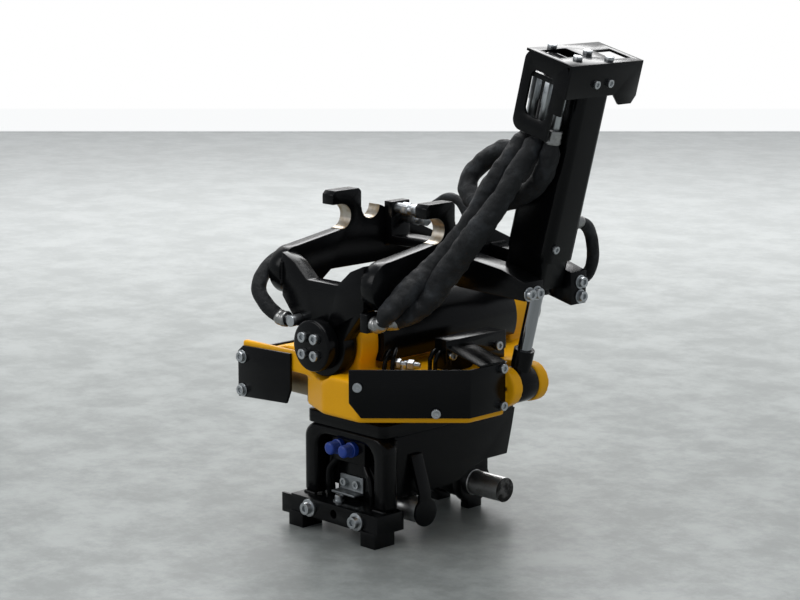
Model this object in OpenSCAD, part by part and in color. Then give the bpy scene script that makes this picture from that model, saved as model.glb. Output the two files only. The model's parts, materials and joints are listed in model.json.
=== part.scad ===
// Excavator tilt rotator: a tool hitch that slews under a tilting top bracket.
// Millimetres, Z up, floor at z = 0, +X toward the tilt cylinder, -Y to the front.

/* [Whole unit] */
// height of the tilt axis above the floor
tilt_z = 309; // [280:1:340]
// radius of the pin noses and of the seats that take them
pin_r = 20; // [15:0.5:30]
// step from a pin's nose to its body
pin_step = 1; // [0.5:0.5:2]
// radial clearance of every running fit
run_gap = 0.05; // [0.01:0.01:0.1]
// radial clearance of a fit that is fixed after assembly
fix_gap = 0.02; // [0.01:0.01:0.05]

/* [Top bracket] */
// clear width between the two hook plates
hook_gap = 182; // [150:1:220]
// thickness of a hook plate
hook_t = 25; // [16:1:32]
// height of the front seat centre
seat_z = 481; // [460:1:500]
// front seat centre along Y
seat_y = -89; // [-110:1:-70]
// top seat centre along Y
top_seat_y = -26; // [-40:1:-10]
// rise of the hook heads above the front seat centre
head_rise = 42; // [36:1:50]
// rise of the top seat centre above the front seat centre
seat_rise = 11; // [6:1:16]
// inner face of the front and rear plates, from the slew axis
end_plate_y = 190; // [170:1:210]
// thickness of the front and rear plates
end_plate_t = 26; // [16:1:32]
// radius of the boss around the tilt shaft
boss_r = 50; // [42:1:56]
// radius of the tilt shaft
shaft_r = 25; // [18:0.5:30]
// radius of an end cap
cap_r = 40; // [34:1:46]
// thickness of an end cap
cap_t = 24; // [12:1:30]

/* [Tilt cylinder] */
// lug pin centre along X
lug_x = 205; // [190:1:230]
// lug pin centre height
lug_z = 246; // [230:1:260]
// lean of the cylinder from upright, toward +X
lean = 14.5; // [10:0.5:20]
// radius of the lug lobes
lobe_r = 31; // [26:1:36]
// thickness of the rod eye
eye_t = 36; // [28:1:42]
// radius of the lug pin
lug_pin_r = 14; // [10:0.5:18]
// radius of the piston rod
rod_r = 11; // [9:0.5:14]
// half width over the lug
lug_half = 40; // [36:1:46]
// bore radius of the barrel
barrel_bore_r = 17; // [15:0.5:18]
// wall of the barrel
barrel_wall = 4; // [3:0.5:5]
// lower end of the barrel above the lug pin, along the cylinder
barrel_foot = 156; // [152:1:162]
// foot of the column's sleeve above the lug pin, along the cylinder
column_foot = 168; // [160:1:176]
// shoulder where the column widens, above the lug pin
column_shoulder = 215; // [200:1:240]
// top of the column above the lug pin, along the cylinder
column_top = 520; // [480:1:530]
// inner side of the column from the cylinder axis
column_in = 54; // [48:1:60]
// outer side of the column from the cylinder axis
column_out = 32; // [30:1:40]
// half depth of the column along Y
column_half = 33; // [31:1:40]
// distance of the head's front flange from the cylinder axis
flange_y = 73; // [66:1:80]
// sheet thickness of the column
column_sheet = 4; // [3:0.5:6]

/* [House] */
// underside of the gear house
house_z = 205; // [195:1:215]
// top of the gear house's flat part
house_top = 268; // [255:1:280]
// distance of the slanted front face from the slew axis
house_slant = 236; // [220:1:250]
// distance of the right face from the slew axis
house_right = 216; // [200:1:225]
// radius of the worm wheel
wheel_r = 138; // [120:1:140]
// number of teeth of the worm wheel
wheel_teeth = 48; // [36:1:60]
// left end of the motor guard from the slew axis
guard_left = 192; // [180:1:200]
// face width of the worm wheel
wheel_h = 36; // [28:1:40]
// clearance between the worm and the wheel's rim
worm_gap = 3; // [2:0.5:6]
// radius of the worm shaft
worm_r = 24; // [18:1:26]

/* [Tool hitch] */
// half width over the side plates
hitch_half = 84; // [70:1:90]
// outer face of the lower pin plates from the slew axis
pin_plate_out = 44; // [38:1:50]
// thickness of a pin plate
hitch_t = 18; // [12:1:20]
// top of the side plates
plate_top = 166; // [150:1:175]
// thickness of the deck
deck_t = 20; // [12:1:25]
// height of both hitch pins
pin_z = 42; // [36:1:50]
// front pin along Y
front_pin_y = -100; // [-110:1:-90]
// lock pin along Y
lock_pin_y = 78; // [70:1:90]
// end of both pins from the slew axis
pin_end = 110; // [104:1:116]
// stroke of each lock pin
lock_stroke = 24; // [15:1:25]
// front face of the shield
shield_y = -172; // [-180:1:-160]

/* [Hidden] */
$fn = 64;
hook_in = hook_gap / 2;
hook_out = hook_in + hook_t;
end_out = end_plate_y + end_plate_t;
seat_r = pin_r + 0.1;
deck_top = plate_top + deck_t;
head_z = seat_z + head_rise;
top_seat_z = seat_z + seat_rise;
hitch_in = pin_plate_out - hitch_t;
shoulder_z = 66;
pin_cap_t = 6;
window_half = hitch_half - 20;
window_top = plate_top - 16;
wheel_z = house_z + 9;
cavity_top = wheel_z + wheel_h + 5;
hub_r = 55;
hub_nose_r = 40;
worm_y = -(wheel_r + worm_gap + worm_r);
worm_z = wheel_z + wheel_h / 2;
guard_y = worm_y - 57;
valve_right = 147;
barrel_r = barrel_bore_r + barrel_wall;
body_r = pin_r + pin_step;
head_right = column_out + 4;
head_back = 85;
head_t = 4;
box_mid_x = (lug_x + head_right * cos(lean) + (column_top + head_t) * sin(lean) - guard_left) / 2;
black = [0.06, 0.06, 0.065];
yellow = [0.93, 0.62, 0.06];
steel = [0.62, 0.63, 0.64];
rubber = [0.05, 0.05, 0.055];
arm_back = 66;
union_h = 14;
port_x = hook_in + 14;
cross_x = 72;
hose_x = [-40, -15, 10];
coupling_y = -51;
hose_top = column_top - 100;
loop_start = 350;
rear_start = 262;
rear_union = 8;
hose_sides = 10;
// gap between a hose's end and its union
hose_off = 0.2;
// height of the two ports on the front plate
port_z = 355;
// union of the front hose, ahead of the front plate
elbow_y = -end_out - 12;
// sleeve at the foot of the column
sleeve_in = column_in - 2;
sleeve_out = barrel_r + 1 + column_sheet;
sleeve_half = column_half - 2;

// point given in the frame of the tilt cylinder
function cylinder_point(x, y, z) =
    [lug_x + x * cos(lean) + z * sin(lean), y, lug_z - x * sin(lean) + z * cos(lean)];

// hose routes, from end to end
main_route = [cylinder_point(hose_x[0], coupling_y, hose_top - hose_off),
    cylinder_point(hose_x[0], coupling_y, hose_top - 26),
    [256, -74, 606], [236, -96, 562], [214, -108, 512], [178, -112, 468], [152, -134, 432], [142, -174, 402],
    [131, -207, 371], [119, -209, port_z], [port_x + hose_off, -209, port_z]];
second_route = [cylinder_point(hose_x[1], coupling_y, hose_top - hose_off),
    cylinder_point(hose_x[1], coupling_y, hose_top - 16),
    [283, -86, 594], [268, -110, 546], [238, -126, 498], [206, -132, 456], [180, -140, 420], [162, -150, 390],
    [140, -169, 367], [120, -182, port_z], [port_x + hose_off, -182, port_z]];
loop_route = [cylinder_point(hose_x[2], coupling_y, hose_top - hose_off),
    cylinder_point(hose_x[2], coupling_y - 1, hose_top - 56),
    [284, -49, 566], [250, -52, 544], [206, -58, 530], [168, -54, 528], [143, -46, 543], [138, -34, 564],
    [156, -22, 588], [180, -14, 604], cylinder_point(-column_in - 36, -12, loop_start),
    cylinder_point(-column_in - union_h - hose_off, -12, loop_start)];
rear_route = [cylinder_point(8, column_half + rear_union + hose_off, rear_start),
    cylinder_point(8, column_half + 25, rear_start), [279, 76, 484], [277, 88, 456], [268, 97, 428], [258, 99, 411],
    [254, 90, 404], [254, arm_back + rear_union + hose_off, 404]];
front_route = [[-129, -90 - hose_off, 432], [-129, -112, 432], [-129.5, -150, 430], [-129.5, -190, 422],
    [-131, -217, 404], [-125, -234, 381], [-109, -235, 360], [-92, -230, 346], [-78, elbow_y, 340],
    [-64 - hose_off, elbow_y, 340]];
cross_route = [[-22 + hose_off, 16, 486], [-6, 16, 486], [14, 18, 502], [36, 22, 514], [56, 26, 508], [70, 27, 488],
    [cross_x, 26, 466], [cross_x, 26, 450 + hose_off]];

// places everything so that the outer box is centred on the origin
module placed() {
    translate([-box_mid_x, 0, 0]) children();
}

// extrudes a Y-Z outline from x0 to x1
module along_x(x0, x1) {
    translate([x0, 0, 0]) rotate([90, 0, 90]) linear_extrude(x1 - x0) children();
}

// extrudes an X-Z outline from y0 to y1
module along_y(y0, y1) {
    translate([0, y1, 0]) rotate([90, 0, 0]) linear_extrude(y1 - y0) children();
}

// round bar along X
module bar_x(x0, x1, y, z, r) {
    translate([x0, y, z]) rotate([0, 90, 0]) cylinder(h = x1 - x0, r = r);
}

// round bar along Y
module bar_y(y0, y1, x, z, r) {
    translate([x, y1, z]) rotate([90, 0, 0]) cylinder(h = y1 - y0, r = r);
}

// box from corner to corner
module block(a, b) {
    translate(a) cube(b - a);
}

// frame of the tilt cylinder: z along the rod, from the lug pin
module on_cylinder() {
    translate([lug_x, 0, lug_z]) rotate([0, lean, 0]) children();
}

// rectangle with rounded corners
module round_rect(x0, y0, x1, y1, r) {
    translate([x0 + r, y0]) square([x1 - x0 - 2 * r, y1 - y0]);
    translate([x0, y0 + r]) square([x1 - x0, y1 - y0 - 2 * r]);
    for (x = [x0 + r, x1 - r])
        for (y = [y0 + r, y1 - r])
            translate([x, y]) circle(r);
}

// socket screw head along -Y, its seat at y = 0
module socket_head_y(r, h) {
    rotate([90, 0, 0]) difference() {
        cylinder(h = h, r = r);
        translate([0, 0, h / 2]) cylinder(h = h, r = r * 0.55, $fn = 6);
    }
}

// sweep of a round hose through the points of its route
function unit(v) = v / norm(v);
function heading(p, k) = unit(p[min(k + 1, len(p) - 1)] - p[max(k - 1, 0)]);
function level(v, d) = unit(v - (v * d) * d);
function side_way(p, k) = k == 0 ? level([0.3, 1, 0.4], heading(p, 0)) : level(side_way(p, k - 1), heading(p, k));
function ring(p, k, r) =
    let (n = side_way(p, k), b = cross(heading(p, k), n))
    [for (i = [0 : hose_sides - 1]) p[k] + r * (cos(i * 360 / hose_sides) * n + sin(i * 360 / hose_sides) * b)];

module hose(route, r) {
    last = (len(route) - 1) * hose_sides;
    polyhedron(
        points = [for (k = [0 : len(route) - 1]) each ring(route, k, r)],
        faces = concat(
            [[for (i = [0 : hose_sides - 1]) i]],
            [[for (i = [hose_sides - 1 : -1 : 0]) last + i]],
            [for (k = [0 : len(route) - 2]) for (i = [0 : hose_sides - 1])
                let (a = k * hose_sides + i, b = k * hose_sides + (i + 1) % hose_sides)
                [b, a, a + hose_sides, b + hose_sides]]));
}

// outline of a hitch side plate
module side_plate_shape() {
    difference() {
        union() {
            polygon([[-131, plate_top], [128, plate_top], [121, 138], [107, 96], [108, 42], [44, 42],
                [40, 62], [30, 70], [-20, 60], [-66, 42], [-131, 42]]);
            translate([front_pin_y, pin_z]) circle(31);
            translate([lock_pin_y, pin_z]) circle(34);
            translate([lock_pin_y - 15, 0]) square([30, 20]);
        }
        translate([front_pin_y, pin_z]) circle(body_r + fix_gap);
        translate([lock_pin_y, pin_z]) circle(body_r + run_gap);
    }
}

// outline of the wide upper part of the hitch body
module upper_body_shape() {
    polygon([[-143, plate_top], [128, plate_top], [122, 138], [110, 92], [60, 92], [30, 84], [0, 70],
        [-24, shoulder_z], [-143, shoulder_z]]);
}

module hitch_side_plates() {
    color(black) for (s = [0, 1]) mirror([s, 0, 0]) {
        along_x(hitch_in, pin_plate_out) side_plate_shape();
        along_x(pin_plate_out, hitch_half) upper_body_shape();
    }
}

module hitch_deck() {
    color(black) difference() {
        translate([0, 0, plate_top]) linear_extrude(deck_t)
            round_rect(-hitch_half - 4, shield_y, hitch_half + 4, 128, 14);
        translate([0, 0, plate_top - 1]) cylinder(h = deck_t + 2, r = 30);
    }
}

module hitch_shield() {
    color(black) along_y(shield_y, -143) difference() {
        union() {
            round_rect(-hitch_half - 8, 70, hitch_half + 8, plate_top, 26);
            translate([-hitch_half - 8, 50]) square([2 * hitch_half + 16, 50]);
        }
        round_rect(-window_half, 20, window_half, window_top, 24);
    }
}

module hitch_webs() {
    color(black) {
        block([-pin_plate_out, -143, 50], [pin_plate_out, -131, 109.5]);
        block([-hitch_in, 100, 96], [hitch_in, 112, plate_top]);
    }
}

module front_bar() {
    color(black) difference() {
        union() {
            block([-hitch_half - 14, shield_y - 23, 20], [hitch_half + 14, shield_y + 34, 49.8]);
            block([-hitch_half - 36, shield_y - 23, 16], [-hitch_half, shield_y - 18, 47]);
            for (s = [0, 1])
                mirror([s, 0, 0]) block([hitch_half - 18, shield_y - 28, 0], [hitch_half + 14, shield_y + 14, 24]);
        }
        bar_y(shield_y - 30, shield_y + 40, 0, 35, 7);
    }
}

module bar_bolts() {
    color(steel) for (s = [-1, 1])
        translate([s * (hitch_half - 30), shield_y - 23, 35]) {
            rotate([90, 0, 0]) cylinder(h = 4, r = 14);
            translate([0, -4, 0]) socket_head_y(9.5, 9);
        }
}

module front_pin() {
    color(steel) {
        bar_x(pin_cap_t - pin_end, pin_end - pin_cap_t, front_pin_y, pin_z, pin_r);
        bar_x(-pin_plate_out - 0.5, pin_plate_out + 0.5, front_pin_y, pin_z, body_r);
    }
}

module pin_keepers() {
    color(black) for (s = [0, 1]) mirror([s, 0, 0]) {
        bar_x(pin_end - pin_cap_t, pin_end, front_pin_y, pin_z, pin_r + 3);
        along_y(front_pin_y - 14, front_pin_y + 10)
            polygon([[hitch_half, 132], [hitch_half + 6, 132], [pin_end, 74], [pin_end, pin_z],
                [pin_end - pin_cap_t, pin_z], [pin_end - pin_cap_t, 74], [hitch_half, 122]]);
    }
}

module lock_cylinder() {
    color(black) difference() {
        union() {
            bar_x(-hitch_in, hitch_in, lock_pin_y, pin_z, 29);
            block([-20, lock_pin_y - 16, 60], [20, lock_pin_y + 16, 84]);
        }
        bar_x(-hitch_half, hitch_half, lock_pin_y, pin_z, body_r + run_gap);
    }
}

module lock_pin_right() {
    color(steel) {
        bar_x(lock_stroke + 1, pin_end, lock_pin_y, pin_z, pin_r);
        bar_x(lock_stroke + 1, pin_plate_out + 0.5, lock_pin_y, pin_z, body_r);
    }
}

module lock_pin_left() {
    color(steel) {
        bar_x(-pin_end, -lock_stroke - 1, lock_pin_y, pin_z, pin_r);
        bar_x(-pin_plate_out - 0.5, -lock_stroke - 1, lock_pin_y, pin_z, body_r);
    }
}

module coupling_block() {
    block_left = pin_plate_out - 0.6;
    color(black) {
        block([-block_left, -158, 110], [32, -131, window_top - 3]);
        block([-block_left, -142.5, 140], [32, -131, plate_top]);
    }
}

module blue_couplings() {
    color([0.05, 0.2, 0.7]) for (x = [-23, 7]) {
        bar_y(-168, -158, x, 134, 12);
        bar_y(-184, -168, x, 134, 10);
    }
}

module zinc_bracket() {
    color(steel) {
        block([-36, -147, 58], [16, -143, 86]);
        block([-36, -166, 58], [16, -147, 62]);
    }
}

module bracket_bolts() {
    color(steel) for (x = [-24, 4])
        translate([x, -147, 74]) socket_head_y(6.5, 6);
}

module rotor() {
    color(black) translate([0, 0, deck_top]) {
        cylinder(h = house_z - 1 - deck_top, r = 148);
        cylinder(h = cavity_top - 1 - deck_top, r = hub_r);
        cylinder(h = cavity_top + 7 - deck_top, r = hub_nose_r);
    }
}

module worm_wheel() {
    color([0.55, 0.42, 0.2]) translate([0, 0, wheel_z]) difference() {
        linear_extrude(wheel_h) difference() {
            circle(wheel_r);
            for (k = [0 : wheel_teeth - 1])
                rotate(k * 360 / wheel_teeth) translate([wheel_r - 6, -3]) square([10, 6]);
        }
        translate([0, 0, -1]) cylinder(h = wheel_h + 2, r = hub_r + fix_gap);
    }
}

// plan of the gear house
module house_plan() {
    k = house_slant * sqrt(2);
    polygon([[164, 60], [164, -lug_half], [house_right, -lug_half], [house_right, house_right - k],
        [k - 235, -235], [20, -235],
        [-44, worm_y - 42], [-48, worm_y - 35], [-48, worm_y + 29], [-150, worm_y + 35], [-162, -60], [-162, 110],
        [-90, 178], [60, 178], [100, 148], [130, 112]]);
}

module gear_house() {
    color(yellow) difference() {
        union() {
            translate([0, 0, house_z]) linear_extrude(house_top - house_z) house_plan();
            bar_y(-188, 188, 0, tilt_z, 46);
            for (s = [-1, 1]) {
                bar_y(s * 169 - 19, s * 169 + 19, 0, tilt_z, 58);
                block([-52, s * 169 - 19, house_top - 4], [52, s * 169 + 19, tilt_z]);
            }
            block([-40, -170, house_top - 4], [40, 170, tilt_z]);
            block([valve_right, -lug_half, 217], [lug_x, lug_half, lug_z + 29]);
            bar_y(-lug_half, lug_half, lug_x, lug_z, lobe_r);
            block([5 - guard_left, -134, 214], [-140, -100, 268]);
            block([5 - guard_left, guard_y + 5, 254], [-20, guard_y + 17, 288]);
            block([5 - guard_left, guard_y + 5, 254], [17 - guard_left, -100, 268]);
        }
        translate([0, 0, house_z - 1]) cylinder(h = cavity_top - house_z + 1, r = wheel_r + 5);
        translate([0, 0, cavity_top - 1]) cylinder(h = 10, r = hub_nose_r + run_gap);
        bar_x(-60, 74, worm_y, worm_z, worm_r + 3);
        bar_x(70, 96, worm_y, worm_z, 15 + run_gap);
        bar_y(-200, 200, 0, tilt_z, 30 + fix_gap);
        bar_y(-240, -188, 0, tilt_z, boss_r + 4);
        block([165, -eye_t / 2 - 0.6, 190], [270, eye_t / 2 + 0.6, 300]);
        bar_y(-lug_half - 1, lug_half + 1, lug_x, lug_z, lug_pin_r + fix_gap);
    }
}

module tilt_bushes() {
    color([0.6, 0.45, 0.22]) for (s = [-1, 1])
        difference() {
            bar_y(s * 159 - 29, s * 159 + 29, 0, tilt_z, 30);
            bar_y(s * 159 - 30, s * 159 + 30, 0, tilt_z, shaft_r + run_gap);
        }
}

module lug_pin() {
    color(steel) bar_y(-lug_half + 3, lug_half - 3, lug_x, lug_z, lug_pin_r);
}

module worm_shaft() {
    color(steel) {
        bar_x(-36, 70, worm_y, worm_z, worm_r);
        bar_x(60, 94, worm_y, worm_z, 15);
        bar_x(-66, -30, worm_y, worm_z, 10);
    }
}

module motor() {
    color([0.38, 0.3, 0.18]) difference() {
        union() {
            bar_x(-126, -49, worm_y, worm_z, 26);
            block([-60, worm_y - 28, worm_z - 27], [-48.5, worm_y + 28, worm_z + 28]);
            block([-104, worm_y - 20, worm_z], [-72, worm_y + 20, worm_z + 32]);
            bar_x(-50, -40, worm_y, worm_z, worm_r + 3 - fix_gap);
        }
        bar_x(-68, -38, worm_y, worm_z, 10 + run_gap);
    }
}

module motor_fittings() {
    color(steel) for (s = [-1, 1])
        translate([-88, worm_y + s * 10, worm_z + 32]) {
            cylinder(h = 9, r = 8.5, $fn = 6);
            translate([0, 0, 9]) cylinder(h = 7, r = 6);
        }
}

module motor_guard() {
    color(black) {
        along_y(guard_y, guard_y + 5)
            polygon([[-guard_left, 196], [-78, 203], [-68, 226], [-68, 284], [12 - guard_left, 280],
                [-guard_left, 270]]);
        block([-guard_left, guard_y + 5, 200], [5 - guard_left, -100, 270]);
    }
}

module guard_screws() {
    color(steel) for (z = [208, 262])
        translate([-181, guard_y, z]) socket_head_y(8, 7);
}

module valve_block() {
    color(black) block([110, -84, house_top], [valve_right, 34, 316]);
}

module side_cover() {
    k = house_slant * sqrt(2);
    j = (house_slant + 4) * sqrt(2);
    color(black) difference() {
        translate([0, 0, house_z + 9]) linear_extrude(74)
            polygon([[house_right + 4, -lug_half - 2], [house_right + 4, house_right + 4 - j], [92, 92 - j],
                [89, 89 - k], [house_right, house_right - k], [house_right, -lug_half - 2]]);
        translate([92, 92 - j, house_z + 9]) rotate([90, 0, 45]) linear_extrude(30, center = true)
            polygon([[-10, -10], [26, -10], [-10, 36]]);
    }
}

module upper_cover() {
    color(black) {
        along_y(-98, -lug_half - 2)
            polygon([[valve_right, 310], [house_right + 4, house_z + 86], [house_right + 4, house_z + 83],
                [valve_right, 306]]);
        block([valve_right, -98, house_top + 20], [valve_right + 3, 34, 318]);
    }
}

module cover_screws() {
    j = (house_slant + 4) * sqrt(2);
    color(steel) {
        for (p = [[-88, 295], [14, 295]])
            translate([valve_right + 3, p[0], p[1]]) rotate([0, 0, 90]) socket_head_y(7, 6);
        for (p = [[-50, 222], [-50, 280]])
            translate([house_right + 4, p[0], p[1]]) rotate([0, 0, 90]) socket_head_y(7, 6);
        for (p = [[101, 262], [184, 222]])
            translate([p[0], p[0] - j, p[1]]) rotate([0, 0, 45]) socket_head_y(7, 6);
    }
}

module tube_cover() {
    color(black) along_y(-149, 149) difference() {
        translate([0, tilt_z]) circle(68);
        translate([0, tilt_z]) circle(46);
        translate([-40.5, tilt_z - 100]) square([81, 100]);
        translate([-70, tilt_z - 100]) square([140, house_top + 12 - tilt_z + 100]);
    }
}

// outline of a hook plate
module hook_shape() {
    difference() {
        union() {
            translate([-184, 408]) circle(38);
            translate([184, 404]) circle(32);
            polygon([[-184, 370], [-150, 372], [-112, 400], [120, 400], [184, 372], [184, 420], [124, 433],
                [0, top_seat_z - 2], [-6, top_seat_z], [-46, top_seat_z], [-46, head_z - 5], [-51, head_z], [-102, head_z],
                [-108, head_z - 6], [-108, seat_z + seat_r], [seat_y, seat_z + seat_r],
                [seat_y, seat_z - seat_r], [-184, 446]]);
        }
        translate([seat_y, seat_z]) circle(seat_r);
        translate([top_seat_y, top_seat_z]) circle(seat_r);
    }
}

module hook_plate_right() {
    color(black) along_x(hook_in, hook_out) hook_shape();
}

module hook_plate_left() {
    color(black) along_x(-hook_out, -hook_in) hook_shape();
}

// outline of a front or rear plate
module end_plate_shape(dip) {
    difference() {
        union() {
            translate([0, tilt_z]) circle(boss_r);
            polygon([[-hook_in, 372], [-48, tilt_z + 12], [48, tilt_z + 12], [hook_in, 372], [hook_in, 440],
                [62, 428], [34, dip], [-34, dip], [-62, 428], [-hook_in, 440]]);
        }
        translate([0, tilt_z]) circle(shaft_r + fix_gap);
    }
}

module front_plate() {
    color(black) along_y(-end_out, -end_plate_y) end_plate_shape(404);
}

module rear_plate() {
    color(black) along_y(end_plate_y, end_out) end_plate_shape(420);
}

module tilt_shaft() {
    color(steel) bar_y(-end_out, end_out, 0, tilt_z, shaft_r);
}

module end_caps() {
    color(black) {
        bar_y(-end_out - cap_t, -end_out, 0, tilt_z, cap_r);
        bar_y(end_out, end_out + cap_t, 0, tilt_z, cap_r);
    }
}

module cap_screws() {
    color(steel) for (x = [-13, 13])
        for (z = [-13, 13]) {
            translate([x, -end_out - cap_t, tilt_z + z]) socket_head_y(8, 8);
            translate([x, end_out + cap_t, tilt_z + z]) rotate([0, 0, 180]) socket_head_y(8, 8);
        }
}

module column_arms() {
    color(black) {
        along_y(-72, -sleeve_half)
            polygon([[hook_out, 402], [150, 398], [284, 394], [284, 422], [236, 436], [hook_out, 452]]);
        along_y(sleeve_half, arm_back)
            polygon([[hook_out, 402], [150, 396], [232, 386], [284, 374], [284, 424], [230, 440], [hook_out, 448]]);
    }
}

module arm_screws() {
    color(steel) {
        for (y = [-63, -46])
            translate([284, y, 404]) rotate([0, 0, 90]) socket_head_y(8, 9);
        for (z = [386, 408])
            translate([284, 52, z]) rotate([0, 0, 90]) socket_head_y(8, 9);
    }
}

module hose_bridge() {
    color(black) {
        block([-hook_in, 4, 428], [hook_in, 44, 442]);
        block([-hook_in, 4, 442], [-hook_in + 18, 44, 497]);
    }
}

module quick_couplings() {
    color(steel) {
        for (p = [[16, 486], [33, 470]]) {
            bar_x(-hook_in + 18, -34, p[0], p[1], 9);
            translate([-58, p[0], p[1]]) rotate([0, 90, 0]) cylinder(h = 16, r = 11, $fn = 6);
            translate([-34, p[0], p[1]]) rotate([0, 90, 0]) cylinder(h = 12, r = 10, $fn = 6);
        }
        translate([cross_x, 26, 442]) cylinder(h = 8, r = 9, $fn = 6);
    }
}

// one straight length of the column's outline
module column_length(foot, top, inner, outer, half, r) {
    translate([0, 0, foot]) linear_extrude(top - foot) round_rect(-inner, -half, outer, half, r);
}

module column_guard() {
    t = column_sheet;
    color(black) on_cylinder() difference() {
        union() {
            column_length(column_shoulder - 2, column_top, column_in, column_out, column_half, 14);
            column_length(column_foot, column_shoulder, sleeve_in, sleeve_out, sleeve_half, 12);
        }
        column_length(column_shoulder + 2, column_top + 1, column_in - t, column_out - t, column_half - t, 10);
        column_length(column_foot - 1, column_shoulder + 3, sleeve_in - t, sleeve_out - t, sleeve_half - t, 8);
    }
}

module column_head() {
    low = column_top - 116;
    color(black) on_cylinder() {
        difference() {
            block([-column_in, -flange_y, column_top], [head_right, head_back, column_top + head_t]);
            block([-38, -flange_y + 14, column_top - 1], [-2, -6, column_top + 5]);
            block([-20, 34, column_top - 1], [20, head_back - 12, column_top + 5]);
        }
        rotate([0, 0, 90]) along_y(-head_right, -head_right + 4)
            polygon([[-flange_y, column_top], [-flange_y, column_top - 46], [column_half, column_top - 46],
                [column_half + 16, column_top - 62], [head_back - 8, column_top - 62], [head_back, column_top - 50],
                [head_back, column_top]]);
        along_y(-flange_y, -flange_y + 5) difference() {
            round_rect(-column_in, low, head_right - 4, column_top + head_t, 16);
            round_rect(-column_in + 17, low + 26, 8, column_top - 22, 12);
            translate([head_right - 20, low - 1]) square([40, 44]);
        }
        block([-column_in + 4, -flange_y + 5, column_top - 34], [20, -column_half, column_top - 26]);
    }
}

module head_bolts() {
    color(steel) on_cylinder() {
        for (p = [[-44, -30], [-8, 8], [12, -36], [24, 20]])
            translate([p[0], p[1], column_top + head_t]) cylinder(h = 6, r = 7.5, $fn = 6);
        for (p = [[head_right, -14, column_top - 26], [head_right, 16, column_top - 26],
            [column_out, -20, column_shoulder + 22]])
            translate(p) rotate([0, 0, 90]) socket_head_y(6, 5);
    }
}

module column_couplings() {
    color(steel) {
        on_cylinder() {
            for (x = hose_x)
                translate([x, coupling_y, hose_top]) {
                    cylinder(h = 30, r = 7.5);
                    translate([0, 0, 30]) cylinder(h = column_top - 34 - 30 - hose_top, r = 9, $fn = 6);
                }
        }
    }
}

// hex unions at the other hose ends
module hose_fittings() {
    color(steel) {
        on_cylinder() {
            translate([-column_in, -12, loop_start]) rotate([0, -90, 0]) cylinder(h = union_h, r = 9, $fn = 6);
            translate([8, column_half, rear_start]) rotate([-90, 0, 0]) cylinder(h = rear_union, r = 9, $fn = 6);
        }
        translate([254, arm_back, 404]) rotate([-90, 0, 0]) cylinder(h = rear_union, r = 9, $fn = 6);
        block([-140, -78, 421], [-hook_out, -62, 443]);
        translate([-129, -78, 432]) rotate([90, 0, 0]) cylinder(h = 12, r = 10, $fn = 6);
        bar_y(elbow_y - 9, -end_out, -50, 340, 9);
        translate([-64, elbow_y, 340]) rotate([0, 90, 0]) cylinder(h = union_h, r = 8, $fn = 6);
    }
}

module hose_ports() {
    color(black) block([hook_in - 1.5, -222, 341], [port_x, -168, 369.8]);
}

module hose_main() {
    color(rubber) hose(main_route, 11.5);
}

module hose_second() {
    color(rubber) hose(second_route, 11.5);
}

module hose_loop() {
    color(rubber) hose(loop_route, 11.5);
}

module hose_rear() {
    color(rubber) hose(rear_route, 9);
}

module hose_front() {
    color(rubber) hose(front_route, 11);
}

module hose_cross() {
    color(rubber) hose(cross_route, 7);
}

module barrel() {
    color([0.12, 0.12, 0.13]) on_cylinder() difference() {
        translate([0, 0, barrel_foot]) cylinder(h = column_top - 8 - barrel_foot, r = barrel_r);
        translate([0, 0, barrel_foot + 24])
            cylinder(h = column_top - 24 - barrel_foot - 24, r = barrel_bore_r + run_gap);
        translate([0, 0, barrel_foot - 1]) cylinder(h = 30, r = rod_r + run_gap);
    }
}

module piston_rod() {
    color([0.8, 0.8, 0.82]) on_cylinder() {
        translate([0, 0, 44]) cylinder(h = 270, r = rod_r);
        translate([0, 0, 290]) cylinder(h = 25, r = barrel_bore_r);
    }
}

module rod_eye() {
    color(black) difference() {
        union() {
            bar_y(-eye_t / 2, eye_t / 2, lug_x, lug_z, lobe_r - 2);
            on_cylinder() translate([0, 0, 20]) cylinder(h = 38, r = 16);
        }
        bar_y(-eye_t, eye_t, lug_x, lug_z, lug_pin_r + run_gap);
        on_cylinder() translate([0, 0, 44]) cylinder(h = 60, r = rod_r + fix_gap);
    }
}

placed() hitch_side_plates();
placed() hitch_deck();
placed() hitch_shield();
placed() hitch_webs();
placed() front_bar();
placed() bar_bolts();
placed() front_pin();
placed() pin_keepers();
placed() lock_cylinder();
placed() lock_pin_right();
placed() lock_pin_left();
placed() coupling_block();
placed() blue_couplings();
placed() zinc_bracket();
placed() bracket_bolts();
placed() rotor();
placed() worm_wheel();
placed() gear_house();
placed() tilt_bushes();
placed() lug_pin();
placed() worm_shaft();
placed() motor();
placed() motor_fittings();
placed() motor_guard();
placed() guard_screws();
placed() valve_block();
placed() side_cover();
placed() upper_cover();
placed() cover_screws();
placed() tube_cover();
placed() hook_plate_right();
placed() hook_plate_left();
placed() front_plate();
placed() rear_plate();
placed() tilt_shaft();
placed() end_caps();
placed() cap_screws();
placed() column_arms();
placed() arm_screws();
placed() hose_bridge();
placed() quick_couplings();
placed() column_guard();
placed() column_head();
placed() head_bolts();
placed() column_couplings();
placed() barrel();
placed() piston_rod();
placed() rod_eye();
placed() hose_fittings();
placed() hose_ports();
placed() hose_main();
placed() hose_second();
placed() hose_loop();
placed() hose_rear();
placed() hose_front();
placed() hose_cross();
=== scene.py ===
import json
import math

import bpy
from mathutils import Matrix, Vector, noise


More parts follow.
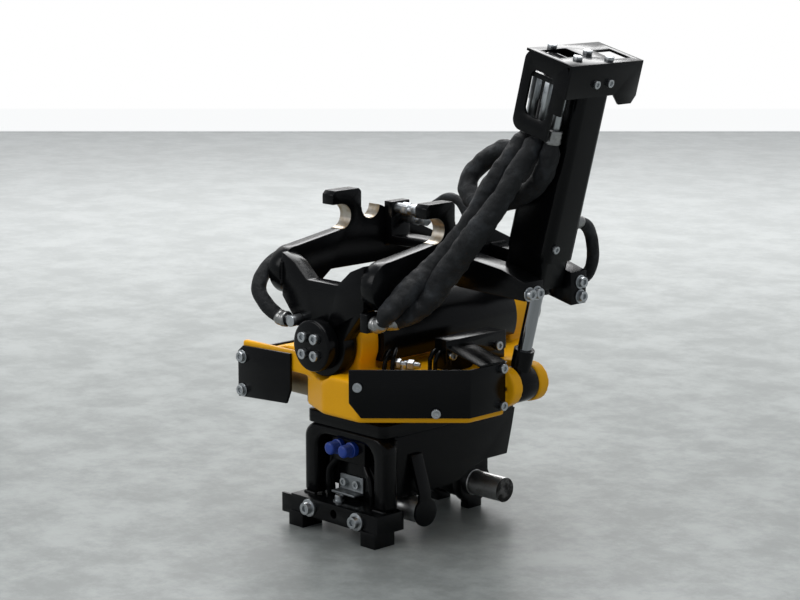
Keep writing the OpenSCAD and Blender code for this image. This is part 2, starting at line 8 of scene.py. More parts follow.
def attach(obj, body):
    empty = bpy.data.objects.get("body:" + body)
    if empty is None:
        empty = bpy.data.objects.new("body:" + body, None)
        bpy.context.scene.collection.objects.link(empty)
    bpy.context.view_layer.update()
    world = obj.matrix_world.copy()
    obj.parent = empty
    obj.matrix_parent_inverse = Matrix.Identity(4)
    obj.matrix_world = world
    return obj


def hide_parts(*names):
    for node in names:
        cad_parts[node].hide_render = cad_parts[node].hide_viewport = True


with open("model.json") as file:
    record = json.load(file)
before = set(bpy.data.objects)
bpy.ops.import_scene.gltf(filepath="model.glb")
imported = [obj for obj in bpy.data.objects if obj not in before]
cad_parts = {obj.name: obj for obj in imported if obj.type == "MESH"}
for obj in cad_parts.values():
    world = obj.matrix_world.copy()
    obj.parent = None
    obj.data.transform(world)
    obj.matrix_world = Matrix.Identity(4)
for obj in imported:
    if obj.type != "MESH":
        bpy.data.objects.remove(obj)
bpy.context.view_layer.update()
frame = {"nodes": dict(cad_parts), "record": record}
cad = frame["nodes"]

# The studio: a pale floor that runs up into a white backdrop far behind the unit, with the floor
# painted darker round the unit as a painted shadow.
# Soft light comes from wide lamps overhead and behind, and a weaker one at the left front.
# The camera stands where the photograph was taken, about 3.5 m away and 1 m above the floor.


class Signal:
    """A node's output; arithmetic on it adds Math nodes to the same tree."""

    def __init__(self, tree, socket):
        self.tree = tree
        self.socket = socket

    def node(self, kind, settings=None, inputs=None, output=0):
        """Adds a node of any kind: settings first, then the values or links of its sockets."""
        made = self.tree.nodes.new(kind)
        for name, value in (settings or {}).items():
            setattr(made, name, value)
        for name, value in (inputs or {}).items():
            if isinstance(value, Signal):
                self.tree.links.new(value.socket, made.inputs[name])
            else:
                made.inputs[name].default_value = value
        return Signal(self.tree, made.outputs[output])

    def maths(self, operation, first, second):
        return self.node("ShaderNodeMath", {"operation": operation}, {0: first, 1: second})

    def __add__(self, other):
        return self.maths("ADD", self, other)

    def __sub__(self, other):
        return self.maths("SUBTRACT", self, other)

    def __rsub__(self, other):
        return self.maths("SUBTRACT", other, self)

    def __mul__(self, other):
        return self.maths("MULTIPLY", self, other)

    def noise(self, scale, detail=2.0, rough=0.5):
        """Even noise over the piece, about 0.5 in the middle."""
        inputs = {"Vector": self, "Scale": scale, "Detail": detail, "Roughness": rough}
        return self.node("ShaderNodeTexNoise", None, inputs)

    def sine(self):
        return self.node("ShaderNodeMath", {"operation": "SINE"}, {0: self})

    def steps(self, low, high):
        """Rises smoothly from 0 at low to 1 at high."""
        inputs = {"Value": self, "From Min": low, "From Max": high}
        return self.node("ShaderNodeMapRange", {"interpolation_type": "SMOOTHSTEP"}, inputs)

    def tint(self, off, on):
        """Mixes two colours by this value."""
        inputs = {"Factor": self, 6: (*off, 1.0) if isinstance(off, tuple) else off}
        inputs[7] = (*on, 1.0) if isinstance(on, tuple) else on
        return self.node("ShaderNodeMix", {"data_type": "RGBA"}, inputs, 2)


class Finish:
    """A material with one principled shader, fed by signals or set to plain values."""

    def __init__(self, name, **values):
        self.material = bpy.data.materials.new(name)
        self.material.use_nodes = True
        self.tree = self.material.node_tree
        self.shader = self.tree.nodes["Principled BSDF"]
        self.place = self.coordinate("Object")
        for socket, value in values.items():
            label = socket.replace("_", " ").title().replace("Ior", "IOR")
            self.shader.inputs[label].default_value = value

    def coordinate(self, kind):
        return Signal(self.tree, self.tree.nodes.new("ShaderNodeTexCoord").outputs[kind])

    def feed(self, socket, signal):
        self.tree.links.new(signal.socket, self.shader.inputs[socket])

    def relief(self, height, depth, strength):
        """Raises the surface by a height signal times depth, in metres."""
        inputs = {"Height": height, "Distance": depth, "Strength": strength}
        self.feed("Normal", height.node("ShaderNodeBump", None, inputs))


scene = bpy.context.scene
scene.view_settings.view_transform = "Standard"
# Painted shadow: the floor is painted dark grey near the unit and paler farther out; the worn
# patches are its own.
shade_grey, shade_worn = (0.18, 0.192, 0.187), (0.27, 0.286, 0.279)
far_grey, far_worn = (0.44, 0.458, 0.452), (0.54, 0.558, 0.552)
shade_full_reach, shade_end_reach = 0.3, 4.0
wall_white = (0.95, 0.95, 0.95)
foot_band_white, upper_white = (0.95, 0.96, 0.965), (1.0, 1.0, 1.0)
foot_band_low, foot_band_top = 0.085, 0.095
wall_away = 5.4
wall_high = 6.0
wall_low, wall_full = 0.001, 0.006
floor_front = 3.0
floor_half = 9.0
cove_r = 0.05
cove_steps = 12
camera_azimuth = math.radians(45.5)
camera_pitch = math.radians(11.0)

view_line = Vector((-math.sin(camera_azimuth), math.cos(camera_azimuth), 0.0))
across = Vector((math.cos(camera_azimuth), math.sin(camera_azimuth), 0.0))
profile = [(-floor_front, 0.0)]
for step in range(cove_steps + 1):
    turn = math.pi / 2 * step / cove_steps
    profile.append((wall_away - cove_r + cove_r * math.sin(turn),
                    cove_r - cove_r * math.cos(turn)))
profile.append((wall_away, wall_high))
bpy.ops.object.select_all(action="DESELECT")
bpy.ops.mesh.primitive_plane_add(size=1.0)
sweep = bpy.context.object
sweep.name = "sweep"
corners = [view_line * away + across * side * floor_half + Vector((0, 0, up))
           for away, up in profile for side in (-1, 1)]
faces = [(2 * k, 2 * k + 1, 2 * k + 3, 2 * k + 2) for k in range(len(profile) - 1)]
sweep.data.clear_geometry()
sweep.data.from_pydata(corners, [], faces)
sweep.data.shade_smooth()

studio = Finish("pale_floor", roughness=0.3, specular_ior_level=0.22)
height = studio.place.node("ShaderNodeSeparateXYZ", None, {0: studio.place}, 2)
patches = studio.place.noise(6.5, 12.0, 0.76).steps(0.38, 0.64)
shaded_tone = patches.tint(shade_grey, shade_worn)
far_tone = patches.tint(far_grey, far_worn)
distance = studio.place.node("ShaderNodeVectorMath", {"operation": "LENGTH"},
                             {0: studio.place}, "Value")
# Painted shadow on the floor: darkest within 0.3 m of the unit, fading out by 4 m.
floor_with_painted_shade = distance.steps(shade_full_reach, shade_end_reach).tint(shaded_tone, far_tone)
on_wall = height.steps(wall_low, wall_full)
# The backdrop glows a little dimmer in a band about 9 cm high at its foot.
foot_band_tone = height.steps(foot_band_low, foot_band_top).tint(foot_band_white, upper_white)
studio.feed("Base Color", on_wall.tint(floor_with_painted_shade, wall_white))
seen = studio.place.node("ShaderNodeLightPath", None, None, "Is Camera Ray")
mirrored = studio.place.node("ShaderNodeLightPath", None, None, "Is Glossy Ray")
glow = studio.place.node("ShaderNodeEmission", None, {"Color": foot_band_tone, "Strength": 1.0})
painted = Signal(studio.tree, studio.shader.outputs["BSDF"])
glowing = on_wall * (seen + mirrored)
blank = studio.place.node("ShaderNodeMixShader", None, {0: glowing, 1: painted, 2: glow})
studio.tree.links.new(blank.socket, studio.tree.nodes["Material Output"].inputs["Surface"])
sweep.data.materials.append(studio.material)

world = bpy.data.worlds.new("studio")
world.use_nodes = True
daylight = world.node_tree.nodes["Background"]
daylight.inputs["Color"].default_value = (0.9, 0.95, 1.0, 1.0)
daylight.inputs["Strength"].default_value = 0.42
scene.world = world
behind = tuple(view_line * 3.0 + Vector((0.0, 0.0, 3.2)))
for name, spot, aim, size, power in (
        ("overhead_lamp", (0.2, 0.2, 4.6), (0.0, 0.0, 0.0), 3.6, 150.0),
        ("back_lamp", behind, (0.0, 0.0, 0.3), 2.6, 120.0),
        ("front_lamp", (-1.6, -3.0, 2.2), (0.0, 0.0, 0.3), 1.8, 30.0)):
    lamp = bpy.data.objects.new(name, bpy.data.lights.new(name, "AREA"))
    lamp.data.size = size
    lamp.data.energy = power
    lamp.location = spot
    lamp.visible_camera = False
    lamp.rotation_euler = (Vector(aim) - Vector(spot)).to_track_quat("-Z", "Y").to_euler()
    scene.collection.objects.link(lamp)

camera = bpy.data.objects.new("camera", bpy.data.cameras.new("camera"))
camera.data.sensor_width = 36.0
camera.data.lens = 98.55
camera.location = (2.31929, -2.41703, 1.01096)
camera.rotation_euler = (math.pi / 2 - camera_pitch, 0.0, camera_azimuth)
scene.collection.objects.link(camera)
scene.camera = camera

# The hydraulic hoses: wire braided rubber, each in a loose woven sleeve that wrinkles at the bends.
# Their ends are swaged into zinc plated ferrules that screw onto the hex unions of the unit.
# The two longest lie together on the way from the column's bulkhead down to the front plate.
mm = 0.001
slew_axis = Vector((-0.089526, 0.0, 0.0))
lean = math.radians(14.5)
lug = Vector((0.205, 0.0, 0.246))


def at_column(x, y, z):
    """Point given in millimetres beside, across and along the tilt cylinder."""
    beside = Vector((math.cos(lean), 0.0, -math.sin(lean)))
    along = Vector((math.sin(lean), 0.0, math.cos(lean)))
    return lug + (beside * x + along * z) * mm + Vector((0.0, y * mm, 0.0))


def smooth_line(points, spacing):
    """Even points on a smooth line through the given ones, and the line's length."""
    splits, fewest = 24, 8
    line = []
    for k in range(len(points) - 1):
        before = points[k - 1] if k else points[0] * 2 - points[1]
        a, b = points[k], points[k + 1]
        after = points[k + 2] if k + 2 < len(points) else points[-1] * 2 - points[-2]
        for step in range(splits):
            t = step / splits
            line.append(0.5 * (2 * a + (b - before) * t
                               + (2 * before - 5 * a + 4 * b - after) * t ** 2
                               + (3 * a - before - 3 * b + after) * t ** 3))
    line.append(points[-1])
    lengths = [0.0]
    for a, b in zip(line, line[1:]):
        lengths.append(lengths[-1] + (b - a).length)
    count = max(int(lengths[-1] / spacing), fewest)
    even, k = [], 0
    for step in range(count + 1):
        reach = lengths[-1] * step / count
        while k < len(line) - 2 and lengths[k + 1] < reach:
            k += 1
        part = (reach - lengths[k]) / (lengths[k + 1] - lengths[k])
        even.append(line[k].lerp(line[k + 1], min(part, 1.0)))
    return even, lengths[-1]


def swept_tube(name, line, radii, sides, finish, folds=0.0):
    """A closed round tube along a line, with loose folds, and girth and length in metres as UV."""
    folds_per_metre, fold_shift = 75.0, 50.0
    bpy.ops.object.select_all(action="DESELECT")
    bpy.ops.mesh.primitive_circle_add(vertices=sides, radius=radii[0])
    tube = bpy.context.object
    tube.name = name
    side = Vector((0.3, 1.0, 0.4))
    corners, gone = [], [0.0]
    for k, middle in enumerate(line):
        way = (line[min(k + 1, len(line) - 1)] - line[max(k - 1, 0)]).normalized()
        side = (side - way * side.dot(way)).normalized()
        other = way.cross(side)
        for i in range(sides):
            turn = 2 * math.pi * i / sides
            spot = Vector((math.cos(turn), math.sin(turn), gone[-1] * folds_per_metre))
            crease = noise.noise(spot + line[0] * fold_shift)
            out = side * math.cos(turn) + other * math.sin(turn)
            corners.append(middle + out * (radii[k] + folds * crease))
        gone.append(gone[-1] + (line[min(k + 1, len(line) - 1)] - middle).length)
    faces = [tuple(range(sides))[::-1]]
    for k in range(len(line) - 1):
        ring, following = k * sides, (k + 1) * sides
        for i in range(sides):
            j = (i + 1) % sides
            faces.append((ring + i, ring + j, following + j, following + i))
    last = (len(line) - 1) * sides
    faces.append(tuple(last + i for i in range(sides)))
    tube.data.clear_geometry()
    tube.data.from_pydata(corners, [], faces)
    girth = tube.data.uv_layers.new(name="girth")
    for face in tube.data.polygons:
        if len(face.vertices) == 4:
            k, i = divmod(face.vertices[0], sides)
            for loop, (du, dv) in zip(face.loop_indices, ((0, 0), (1, 0), (1, 1), (0, 1))):
                wound = (i + du) * 2 * math.pi * max(radii) / sides
                girth.data[loop].uv = (wound, gone[k + dv])
    tube.data.shade_smooth()
    tube.data.materials.append(finish.material)
    return tube


sleeve = Finish("woven_sleeve", specular_ior_level=0.3)
wrap = sleeve.coordinate("UV")
around = wrap.node("ShaderNodeSeparateXYZ", None, {0: wrap}, 0)
down = wrap.node("ShaderNodeSeparateXYZ", None, {0: wrap}, 1)
threads = 2600.0
weave = ((around * threads + down * threads).sine()
         * (around * threads - down * threads).sine())
crease = sleeve.place.noise(75.0, 4.0, 0.6)
rubbed = sleeve.place.noise(38.0, 3.0).steps(0.5, 0.75)
sleeve.feed("Base Color", rubbed.tint((0.0058, 0.0066, 0.0078), (0.022, 0.025, 0.029)))
sleeve.feed("Roughness", 0.62 - rubbed * 0.14 + weave * 0.05)
sleeve.relief(weave * 0.16 + crease * 4.0, 0.0009, 1.0)

ferrule_zinc = Finish("ferrule_zinc", metallic=1.0)
dulled = ferrule_zinc.place.noise(210.0, 3.0)
ferrule_zinc.feed("Base Color", dulled.tint((0.2, 0.2, 0.2), (0.45, 0.45, 0.44)))
ferrule_zinc.feed("Roughness", dulled * 0.2 + 0.24)


def ferrule(name, line, start, radius):
    """A swaged ferrule over the first or last stretch of a hose, with its pressed waists."""
    full, lip, waist, waists, sides = 1.12, 0.94, 0.95, 6, 28
    lip_end, mouth = 0.05, 0.9
    stretch = line[:start + 1] if start > 0 else line[start - 1:][::-1]
    reach = len(stretch) - 1
    radii = []
    for k in range(reach + 1):
        swell = full if lip_end < k / reach < mouth else lip
        radii.append(radius * swell * (waist if (k * waists // reach) % 2 else 1.0))
    return swept_tube(name, stretch, radii, sides, ferrule_zinc)


routes = {
    "hose_main": (11.5, [
        at_column(-40, -51, 419.8), at_column(-40, -51, 394), (256, -74, 606), (236, -96, 562),
        (214, -108, 512), (178, -112, 468), (152, -134, 432), (142, -174, 402),
        (131, -207, 371), (119, -209, 355), (105.2, -209, 355)]),
    "hose_second": (11.5, [
        at_column(-15, -51, 419.8), at_column(-15, -51, 404), (283, -86, 594), (268, -110, 546),
        (238, -126, 498), (206, -132, 456), (180, -140, 420), (162, -150, 390),
        (140, -169, 367), (120, -182, 355), (105.2, -182, 355)]),
    "hose_loop": (11.5, [
        at_column(10, -51, 419.8), at_column(10, -52, 364), (284, -49, 566), (250, -52, 544),
        (206, -58, 530), (168, -54, 528), (143, -46, 543), (138, -34, 564), (156, -22, 588),
        (180, -14, 604), at_column(-90, -12, 350), at_column(-68.2, -12, 350)]),
    "hose_rear": (9, [
        at_column(8, 41.2, 262), at_column(8, 58, 262), (279, 76, 484), (277, 88, 456),
        (268, 97, 428), (258, 99, 411), (254, 90, 404), (254, 74.2, 404)]),
    "hose_front": (11, [
        (-129, -90.2, 432), (-129, -112, 432), (-129.5, -150, 430), (-129.5, -190, 422),
        (-131, -217, 404), (-125, -234, 381), (-109, -235, 360), (-92, -230, 346),
        (-78, -228, 340), (-64.2, -228, 340)]),
    "hose_cross": (7, [
        (-21.8, 16, 486), (-6, 16, 486), (14, 18, 502), (36, 22, 514), (56, 26, 508),
        (70, 27, 488), (72, 26, 466), (72, 26, 450.2)])}
hose_step = 0.0025
hose_sides = 40
swage_reach = 2.2
swage_share = 0.97
opening_steps = 4
large_hose = 11
bulge, bulge_start, bulge_reach = 0.3, 0.28, 0.66
for node, (thick, route) in routes.items():
    points = [(place if isinstance(place, Vector) else Vector(place) * mm) + slew_axis
              for place in route]
    line, length = smooth_line(points, hose_step)
    radius = thick * mm
    swaged = int(radius * swage_reach / hose_step)
    slack, folds = (1.3, 0.0022) if thick > large_hose else (1.07, 0.0007)
    bundled = node in ("hose_main", "hose_second")
    held = radius * swage_share
    radii = []
    for k in range(len(line)):
        past = min(k, len(line) - 1 - k) - swaged
        along = k / (len(line) - 1)
        full = radius * slack
        if bundled:
            wave = math.sin(math.pi * (along - bulge_start) / bulge_reach)
            full *= 1.0 + bulge * max(wave, 0.0)
        radii.append(held + (full - held) * min(max(past / opening_steps, 0.0), 1.0))
    tube = swept_tube(node + "_sleeve", line, radii, hose_sides, sleeve, folds)
    collars = [ferrule(node + "_ferrule_a", line, swaged, radius),
               ferrule(node + "_ferrule_b", line, -swaged, radius)]
    for collar in collars:
        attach(collar, "bracket")
    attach(tube, "bracket")
    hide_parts(node)
    2 * sum(radii) / len(radii)

# The welded plates and cast covers: thick steel, flame cut or milled, sprayed satin black.
# Every edge is broken by a small bevel, and the paint has a fine orange peel and some dust; the
# dust specks sit on upward faces and lighten them, partly as a painted highlight from the lamps
# above.
black = Finish("satin_black_paint", specular_ior_level=0.15)
film = black.place.noise(10.0, 5.0)
facing = black.coordinate("Normal")
# Upward faces: dust specks, painted lighter partly as a painted highlight on the tops.
lit_upward = black.place.node("ShaderNodeSeparateXYZ", None, {0: facing}, 2).steps(0.3, 1.0)
specks = black.place.noise(260.0, 4.0, 0.7).steps(0.55, 0.8)
dust_and_top_sheen = lit_upward * specks * film.steps(0.35, 0.7) * 0.25
black.feed("Base Color", dust_and_top_sheen.tint((0.0028, 0.003, 0.0034), (0.12, 0.116, 0.11)))
black.feed("Roughness", film * 0.14 + 0.1 + dust_and_top_sheen * 0.5)
black.relief(black.place.noise(620.0, 2.0), 0.00035, 0.5)
same_point = 0.00002
flat_angle = math.radians(1.0)
edge_angle = math.radians(32.0)
smooth_angle = math.radians(35.0)


def softened(node, finish, body, width=0.0012):
    """A copy of a solid with its edges broken, standing for the plain one."""
    bpy.ops.object.select_all(action="DESELECT")
    copy = cad[node].copy()
    copy.data = cad[node].data.copy()
    copy.name = node + "_piece"
    scene.collection.objects.link(copy)
    copy.parent = None
    for key in [key for key in copy.keys() if key.startswith("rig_")]:
        del copy[key]
    copy.select_set(True)
    bpy.context.view_layer.objects.active = copy
    bpy.ops.object.mode_set(mode="EDIT")
    bpy.ops.mesh.select_all(action="SELECT")
    bpy.ops.mesh.remove_doubles(threshold=same_point)
    bpy.ops.mesh.dissolve_limited(angle_limit=flat_angle)
    bpy.ops.object.mode_set(mode="OBJECT")
    edge = copy.modifiers.new("broken_edges", "BEVEL")
    edge.width = width
    edge.segments = 2
    edge.limit_method = "ANGLE"
    edge.angle_limit = edge_angle
    edge.miter_outer = "MITER_ARC"
    bpy.ops.object.modifier_apply(modifier="broken_edges")
    facets = copy.modifiers.new("facets", "TRIANGULATE")
    facets.min_vertices = 5
    bpy.ops.object.modifier_apply(modifier="facets")
    bpy.ops.object.shade_smooth_by_angle(angle=smooth_angle)
    copy.data.materials.clear()
    copy.data.materials.append(finish.material)
    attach(copy, body)
    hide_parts(node)
    return copy


for node in ("hitch_side_plates", "hitch_deck", "hitch_webs", "front_bar", "pin_keepers",
             "lock_cylinder", "coupling_block", "rotor"):
    softened(node, black, "hitch")
softened("hitch_shield", black, "hitch", width=0.006)
for node in ("motor_guard", "valve_block", "side_cover", "upper_cover", "tube_cover"):
    softened(node, black, "house")
softened("end_caps", black, "bracket", width=0.0035)
for node in ("hook_plate_right", "hook_plate_left", "front_plate", "rear_plate", "column_arms",
             "hose_bridge", "hose_ports", "column_head"):
    softened(node, black, "bracket")
softened("column_guard", black, "bracket", width=0.0008)
softened("rod_eye", black, "rod")
softened("barrel", black, "barrel")

# The hook seats: half round bearings for the machine's pins, machined bare after painting.
# The cutter leaves fine marks across the plate, and the steel has a warm tarnish.
bare = Finish("machined_seat", metallic=1.0)
drawn_out = {"Vector": bare.place, "Scale": (30.0, 900.0, 900.0)}
cutter = bare.place.node("ShaderNodeMapping", None, drawn_out).noise(1.0, 3.0)
tarnish = bare.place.noise(70.0, 3.0).steps(0.35, 0.7)
bare.feed("Base Color", tarnish.tint((0.5, 0.46, 0.4), (0.34, 0.26, 0.17)))
bare.feed("Roughness", cutter * 0.25 + 0.2)
bare.relief(cutter, 0.0001, 0.6)
seat_radius = 0.0201
seat_width = 0.0248
seat_aside = 0.1035
liner_wall = 0.0005
cut_margin = 0.0005
for name, side, seat_y, seat_z, upright in (
        ("front_seat_right", 1, -0.089, 0.481, True),
        ("front_seat_left", -1, -0.089, 0.481, True),
        ("top_seat_right", 1, -0.026, 0.492, False),
        ("top_seat_left", -1, -0.026, 0.492, False)):
    bpy.ops.object.select_all(action="DESELECT")
    bpy.ops.mesh.primitive_cylinder_add(
        vertices=96, radius=seat_radius, depth=seat_width, end_fill_type="NOTHING",
        location=slew_axis + Vector((side * seat_aside, seat_y, seat_z)),
        rotation=(0.0, math.pi / 2, 0.0))
    liner = bpy.context.object
    liner.name = name
    bpy.ops.object.transform_apply(location=True, rotation=True)
    bpy.ops.object.mode_set(mode="EDIT")
    bpy.ops.mesh.select_mode(type="FACE")
    bpy.ops.mesh.select_all(action="DESELECT")
    bpy.ops.object.mode_set(mode="OBJECT")
    for face in liner.data.polygons:
        in_front = face.center.y < seat_y + cut_margin
        above = face.center.z > seat_z - cut_margin
        face.select = in_front if upright else above
    bpy.ops.object.mode_set(mode="EDIT")
    bpy.ops.mesh.delete(type="FACE")
    bpy.ops.object.mode_set(mode="OBJECT")
    wall = liner.modifiers.new("wall", "SOLIDIFY")
    wall.thickness = liner_wall
    wall.offset = -1.0
    bpy.ops.object.modifier_apply(modifier="wall")
    bpy.ops.object.shade_smooth_by_angle(angle=smooth_angle)
    liner.data.materials.append(bare.material)
    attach(liner, "bracket")

# The fillet welds: stacked ripples of weld metal in the corners where plates meet, painted over.
# They run round the front and rear plates, the arms, the bridge and the hitch body.
welds = {
    "bracket": [[(side * 91, y, low), (side * 91, y, high)] for side in (-1, 1)
                for y, low, high in ((-216, 391, 425), (-190, 376, 436), (190, 376, 430))]
    + [[(116, -72, 405), (116, -72, 449)], [(116, -70, 452), (116, -33, 452)],
       [(116, -70, 402), (116, -33, 402)], [(116, 66, 405), (116, 66, 446)],
       [(116, 64, 448), (116, 33, 448)], [(116, 64, 402), (116, 33, 402)]]
    + [[(side * 91, 6, up), (side * 91, 42, up)] for side, up in ((-1, 428), (1, 442))],
    "hitch": [[(side * 84, -140, 166), (side * 84, 122, 166)] for side in (-1, 1)]
    + [[(side * 44, -66, 66), (side * 44, -24, 66)] for side in (-1, 1)]
    + [[(-90, -172, 49.8), (-66, -172, 49.8)], [(66, -172, 49.8), (90, -172, 49.8)],
       [(-84, -143, 70), (-84, -143, 160)], [(84, -143, 70), (84, -143, 160)]]}
bead_step = 0.0011
bead_sides = 12
bead_radius = 0.0031
ripple_high, ripple_turn = 0.0004, 1.6
for body, seams in welds.items():
    for number, seam in enumerate(seams):
        line = smooth_line([Vector(end) * mm + slew_axis for end in seam], bead_step)[0]
        radii = [bead_radius + ripple_high * math.sin(k * ripple_turn) for k in range(len(line))]
        bead = swept_tube(f"{body}_weld_{number}", line, radii, bead_sides, black)
        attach(bead, body)

# The gear house: one iron casting that carries the worm drive, the tilt bearings and the lug.
# It is sprayed orange yellow over the cast skin.
yellow = Finish("yellow_paint", specular_ior_level=0.2)
tone = yellow.place.noise(9.0, 4.0)
yellow.feed("Base Color", tone.tint((0.84, 0.385, 0.002), (0.94, 0.46, 0.003)))
yellow.feed("Roughness", tone * 0.2 + 0.28)
yellow.relief(yellow.place.noise(240.0, 3.0), 0.0006, 0.6)
casting = softened("gear_house", yellow, "house", width=0.003)
bpy.ops.object.select_all(action="DESELECT")
casting.select_set(True)
bpy.context.view_layer.objects.active = casting
skin_grid = casting.modifiers.new("cast_skin", "REMESH")
skin_grid.mode = "VOXEL"
skin_grid.voxel_size = 0.0028
skin_grid.use_smooth_shade = True
bpy.ops.object.modifier_apply(modifier="cast_skin")
fillets = casting.modifiers.new("cast_fillets", "SMOOTH")
fillets.factor = 0.5
fillets.iterations = 9
bpy.ops.object.modifier_apply(modifier="cast_fillets")
casting.data.shade_smooth()

# The bare and plated steel: hitch pins are turned and ground, with scuffs, and their end faces are
# painted near black as painted shade.
# Screws, bolts, unions and the lug pin are zinc plated, and the bracket is passivated sheet.
# The hydraulic motor is cast iron with a brownish chromate on it.
steel = Finish("turned_steel", metallic=1.0)
grain = steel.place.noise(900.0, 3.0)
reach = steel.place.node("ShaderNodeSeparateXYZ", None, {0: steel.place}, 0) - slew_axis.x
scuffed = steel.place.noise(60.0, 5.0, 0.65).steps(0.45, 0.75)
pin_end, pin_tip = 0.1088, 0.1094
at_end = reach.maths("ABSOLUTE", reach, 0.0).steps(pin_end, pin_tip)
# Painted shade: the pins' end faces are coloured near black, with the scuffs lightening it a
# little.
shaded_end_face = at_end * (1.0 - scuffed * 0.35)
ground = grain.tint((0.66, 0.66, 0.65), (0.86, 0.86, 0.85))
handled = scuffed.tint(ground, (0.46, 0.45, 0.44))
steel.feed("Base Color", shaded_end_face.tint(handled, (0.03, 0.029, 0.028)))
steel.feed("Roughness", grain * 0.22 + 0.26 + scuffed * 0.12 + shaded_end_face * 0.2)
zinc = Finish("zinc_plate", metallic=1.0)
bloom = zinc.place.noise(130.0, 3.0)
zinc.feed("Base Color", bloom.tint((0.36, 0.38, 0.4), (0.6, 0.62, 0.63)))
zinc.feed("Roughness", bloom * 0.25 + 0.2)
passivated = Finish("passivated_sheet", metallic=0.9)
clouds = passivated.place.noise(90.0, 4.0)
passivated.feed("Base Color", clouds.tint((0.14, 0.15, 0.155), (0.3, 0.32, 0.33)))
passivated.feed("Roughness", clouds * 0.25 + 0.36)
iron = Finish("chromated_iron", metallic=0.6)
skin = iron.place.noise(160.0, 4.0)
iron.feed("Base Color", skin.tint((0.16, 0.11, 0.05), (0.34, 0.25, 0.12)))
iron.feed("Roughness", skin * 0.3 + 0.35)
softened("front_pin", steel, "hitch", width=0.0007)
softened("bar_bolts", zinc, "hitch", width=0.0007)
softened("lock_pin_right", steel, "lock_right", width=0.0015)
softened("lock_pin_left", steel, "lock_left", width=0.0015)
softened("bracket_bolts", zinc, "hitch", width=0.0006)
softened("zinc_bracket", passivated, "hitch", width=0.0012)
for node in ("motor_fittings", "guard_screws", "cover_screws"):
    softened(node, zinc, "house", width=0.0007)
for node in ("cap_screws", "arm_screws", "quick_couplings", "head_bolts", "column_couplings",
             "hose_fittings"):
    softened(node, zinc, "bracket", width=0.0007)
softened("motor", iron, "house", width=0.0012)
softened("lug_pin", zinc, "house", width=0.001)

# Flat washers under the screws of the arms and of the motor guard, punched from zinc plated strip.
# Each is a flat ring around the screw's head, with its edges rolled by the punch.
washer_bore = 0.0081
washer_spread = 1.32
washer_plate = 0.0016
washer_edge = 0.0004
for name, body, spot, way in (
        ("arm_washer_1", "bracket", (284, -63, 404), "X"),
        ("arm_washer_2", "bracket", (284, -46, 404), "X"),
        ("arm_washer_3", "bracket", (284, 52, 386), "X"),
        ("arm_washer_4", "bracket", (284, 52, 408), "X"),
        ("guard_washer_1", "house", (-181, -222, 208), "Y"),
        ("guard_washer_2", "house", (-181, -222, 262), "Y")):
    turn = (0.0, math.pi / 2, 0.0) if way == "X" else (math.pi / 2, 0.0, 0.0)
    middle = Vector(spot) * mm + slew_axis
    bpy.ops.object.select_all(action="DESELECT")
    bpy.ops.mesh.primitive_circle_add(vertices=40, radius=washer_bore, location=middle,
                                      rotation=turn)
    washer = bpy.context.object
    washer.name = name
    bpy.ops.object.mode_set(mode="EDIT")
    bpy.ops.mesh.extrude_edges_move()
    bpy.ops.transform.resize(value=(washer_spread,) * 3, center_override=middle)
    bpy.ops.mesh.select_all(action="SELECT")
    bpy.ops.mesh.normals_make_consistent(inside=False)
    bpy.ops.object.mode_set(mode="OBJECT")
    bpy.ops.object.transform_apply(location=True, rotation=True)
    out = Vector((1, 0, 0)) if way == "X" else Vector((0, -1, 0))
    if washer.data.polygons[0].normal.dot(out) < 0:
        washer.data.flip_normals()
    plate = washer.modifiers.new("plate", "SOLIDIFY")
    plate.thickness = washer_plate
    plate.offset = 1.0
    bpy.ops.object.modifier_apply(modifier="plate")
    rolled = washer.modifiers.new("rolled", "BEVEL")
    rolled.width = washer_edge
    rolled.segments = 2
    bpy.ops.object.modifier_apply(modifier="rolled")
    washer.data.materials.append(zinc.material)
    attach(washer, body)

# The dust caps of the tool couplings: moulded blue caps with grip ribs and a domed front.
# One sits on each half coupling behind the window of the hitch, and their blue is painted darker as
# painted shade.
shaded_blue_caps = Finish("shaded_blue_dust_caps")
shade = shaded_blue_caps.place.noise(60.0, 2.0)
# Painted shade: the caps' blue is darkened for the shadow they sit in behind the hitch's window.
shaded_blue_caps.feed("Base Color", shade.tint((0.005, 0.035, 0.28), (0.008, 0.055, 0.36)))
shaded_blue_caps.feed("Roughness", shade * 0.2 + 0.3)
turned_angle = math.radians(40.0)


def turned(name, start, end, steps, sides, finish, body):
    """A turned or hex piece from start to end; steps are (share of its length, radius), in mm."""
    start, end = (Vector(point) * mm + slew_axis for point in (start, end))
    line = [start.lerp(end, share) for share, _ in steps]
    piece = swept_tube(name, line, [radius * mm for _, radius in steps], sides, finish)
    bpy.ops.object.select_all(action="DESELECT")
    piece.select_set(True)
    bpy.context.view_layer.objects.active = piece
    bpy.ops.object.shade_smooth_by_angle(angle=turned_angle)
    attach(piece, body)
    return piece


rib_pitch = 0.1
cap_sides = 36
ribs = [(0.0, 12.0), (0.3, 12.0), (0.34, 10.2), (0.38, 10.2)]
for k in range(5):
    ribs += [(share + k * rib_pitch, radius)
             for share, radius in ((0.4, 10.0), (0.43, 10.0), (0.45, 9.4), (0.47, 9.4))]
ribs += [(0.9, 10.0), (0.95, 9.2), (0.985, 7.0), (1.0, 4.0)]
caps = [turned(f"dust_cap_{k}", (x, -158, 134), (x, -184, 134), ribs, cap_sides, shaded_blue_caps, "hitch")
        for k, x in enumerate((-23, 7))]
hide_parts("blue_couplings")
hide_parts("blue_couplings")

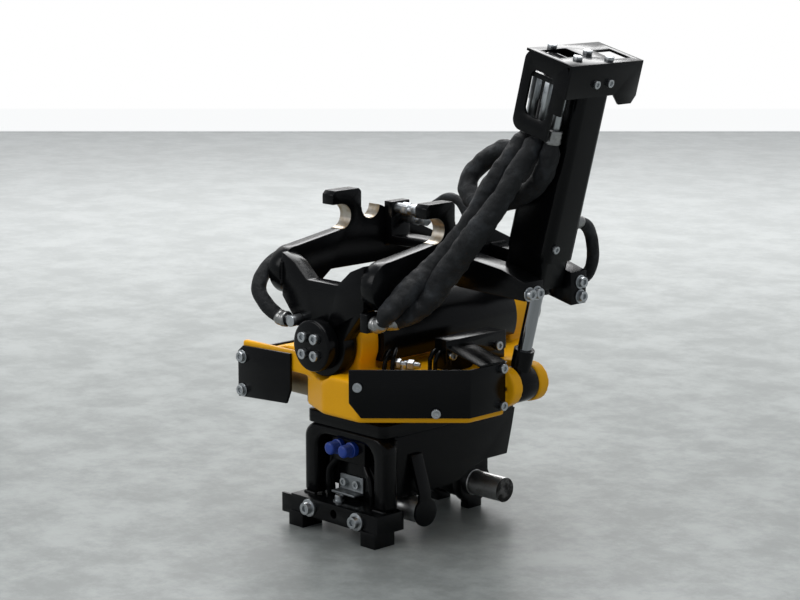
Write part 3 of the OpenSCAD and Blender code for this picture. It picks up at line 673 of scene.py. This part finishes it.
# The small pipework: a test fitting lying behind the side cover, a plug, nipples and steel pipes.
# The fitting has two hex nuts on a turned body, and two grease nipples stand on the lug.
# The bent pipes are painted black and feed the house and the coupling block.
nut = [(0.0, 7.4), (0.08, 8.4), (0.92, 8.4), (1.0, 7.4)]
stem = [(0.0, 5.0), (0.25, 5.0), (0.27, 6.6), (0.4, 6.6), (0.42, 5.2), (0.9, 5.2), (1.0, 4.0)]
foot = [(0.0, 5.5), (1.0, 5.0)]
plug = [(0.0, 9.0), (0.2, 9.0), (0.22, 6.4), (0.9, 6.4), (1.0, 5.4)]
nipple = [(0.0, 4.2), (0.35, 4.2), (0.37, 2.6), (0.7, 2.6), (0.75, 3.4), (0.9, 3.4), (1.0, 2.0)]
for name, start, end, steps, sides, body in (
        ("test_fitting_nut", (72, -134, 277), (84, -129, 277), nut, 6, "house"),
        ("test_fitting_body", (80, -130.6, 277), (112, -117, 277), stem, 32, "house"),
        ("test_fitting_union", (94, -124.7, 277), (104, -120.5, 277), nut, 6, "house"),
        ("test_fitting_foot", (88, -127.3, 267.8), (88, -127.3, 277), foot, 24, "house"),
        ("bar_plug", (-11, -173, 49.8), (-11, -173, 60), plug, 24, "hitch"),
        ("lug_nipple_0", (205, -29, 276.6), (205, -29, 286), nipple, 20, "house"),
        ("lug_nipple_2", (205, 29, 276.6), (205, 29, 286), nipple, 20, "house")):
    turned(name, start, end, steps, sides, zinc, body)
pipe_step = 0.002
pipe_sides = 20
for name, body, thick, bend in (
        ("feed_pipe_0", "house", 3.4,
         [(58, -128, 300), (66, -138, 296), (70, -150, 284), (71, -154, 267.8)]),
        ("feed_pipe_1", "house", 3.4,
         [(60, -118, 300), (70, -128, 297), (77, -140, 285), (79, -144, 267.8)]),
        ("feed_pipe_2", "house", 3.4,
         [(118, -84, 298), (118, -94, 296), (118, -101, 286), (118, -102, 267.8)]),
        ("feed_pipe_3", "house", 3.4,
         [(131, -84, 298), (131, -95, 296), (131, -103, 286), (131, -104, 267.8)]),
        ("tool_pipe_0", "hitch", 5.5,
         [(-36, -150, 112), (-42, -153, 104), (-50, -156, 92), (-52, -156, 72),
          (-51, -153, 49.5)]),
        ("tool_pipe_1", "hitch", 4.5,
         [(-42, -144, 138), (-50, -146, 133), (-54, -147, 118), (-54.5, -147, 90),
          (-54.5, -146, 66), (-54, -145, 49.5)]),
        ("tool_pipe_2", "hitch", 5.5,
         [(25, -150, 112), (31, -153, 103), (42, -156, 90), (46, -156, 70),
          (45, -153, 49.5)])):
    line = smooth_line([Vector(point) * mm + slew_axis for point in bend], pipe_step)[0]
    pipe = swept_tube(name, line, [thick * mm] * len(line), pipe_sides, black)
    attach(pipe, body)

# The pieces left as the solids give them: the hard chromed piston rod and the ground steel shafts.
# The bushes and the worm wheel are bronze, browned by oil, and hidden in the casting.
chrome = Finish("hard_chrome", metallic=1.0, base_color=(0.38, 0.39, 0.41, 1.0))
chrome.feed("Roughness", chrome.place.noise(40.0, 3.0) * 0.1 + 0.06)
plain = {"steel": steel, "chrome": chrome, "bronze": iron}
slots = {part["node"]: part["material_slot"] for part in frame["record"]["subparts"]}
for node, solid in cad.items():
    if not solid.hide_render:
        solid.data.materials.clear()
        solid.data.materials.append(plain[slots[node]].material)
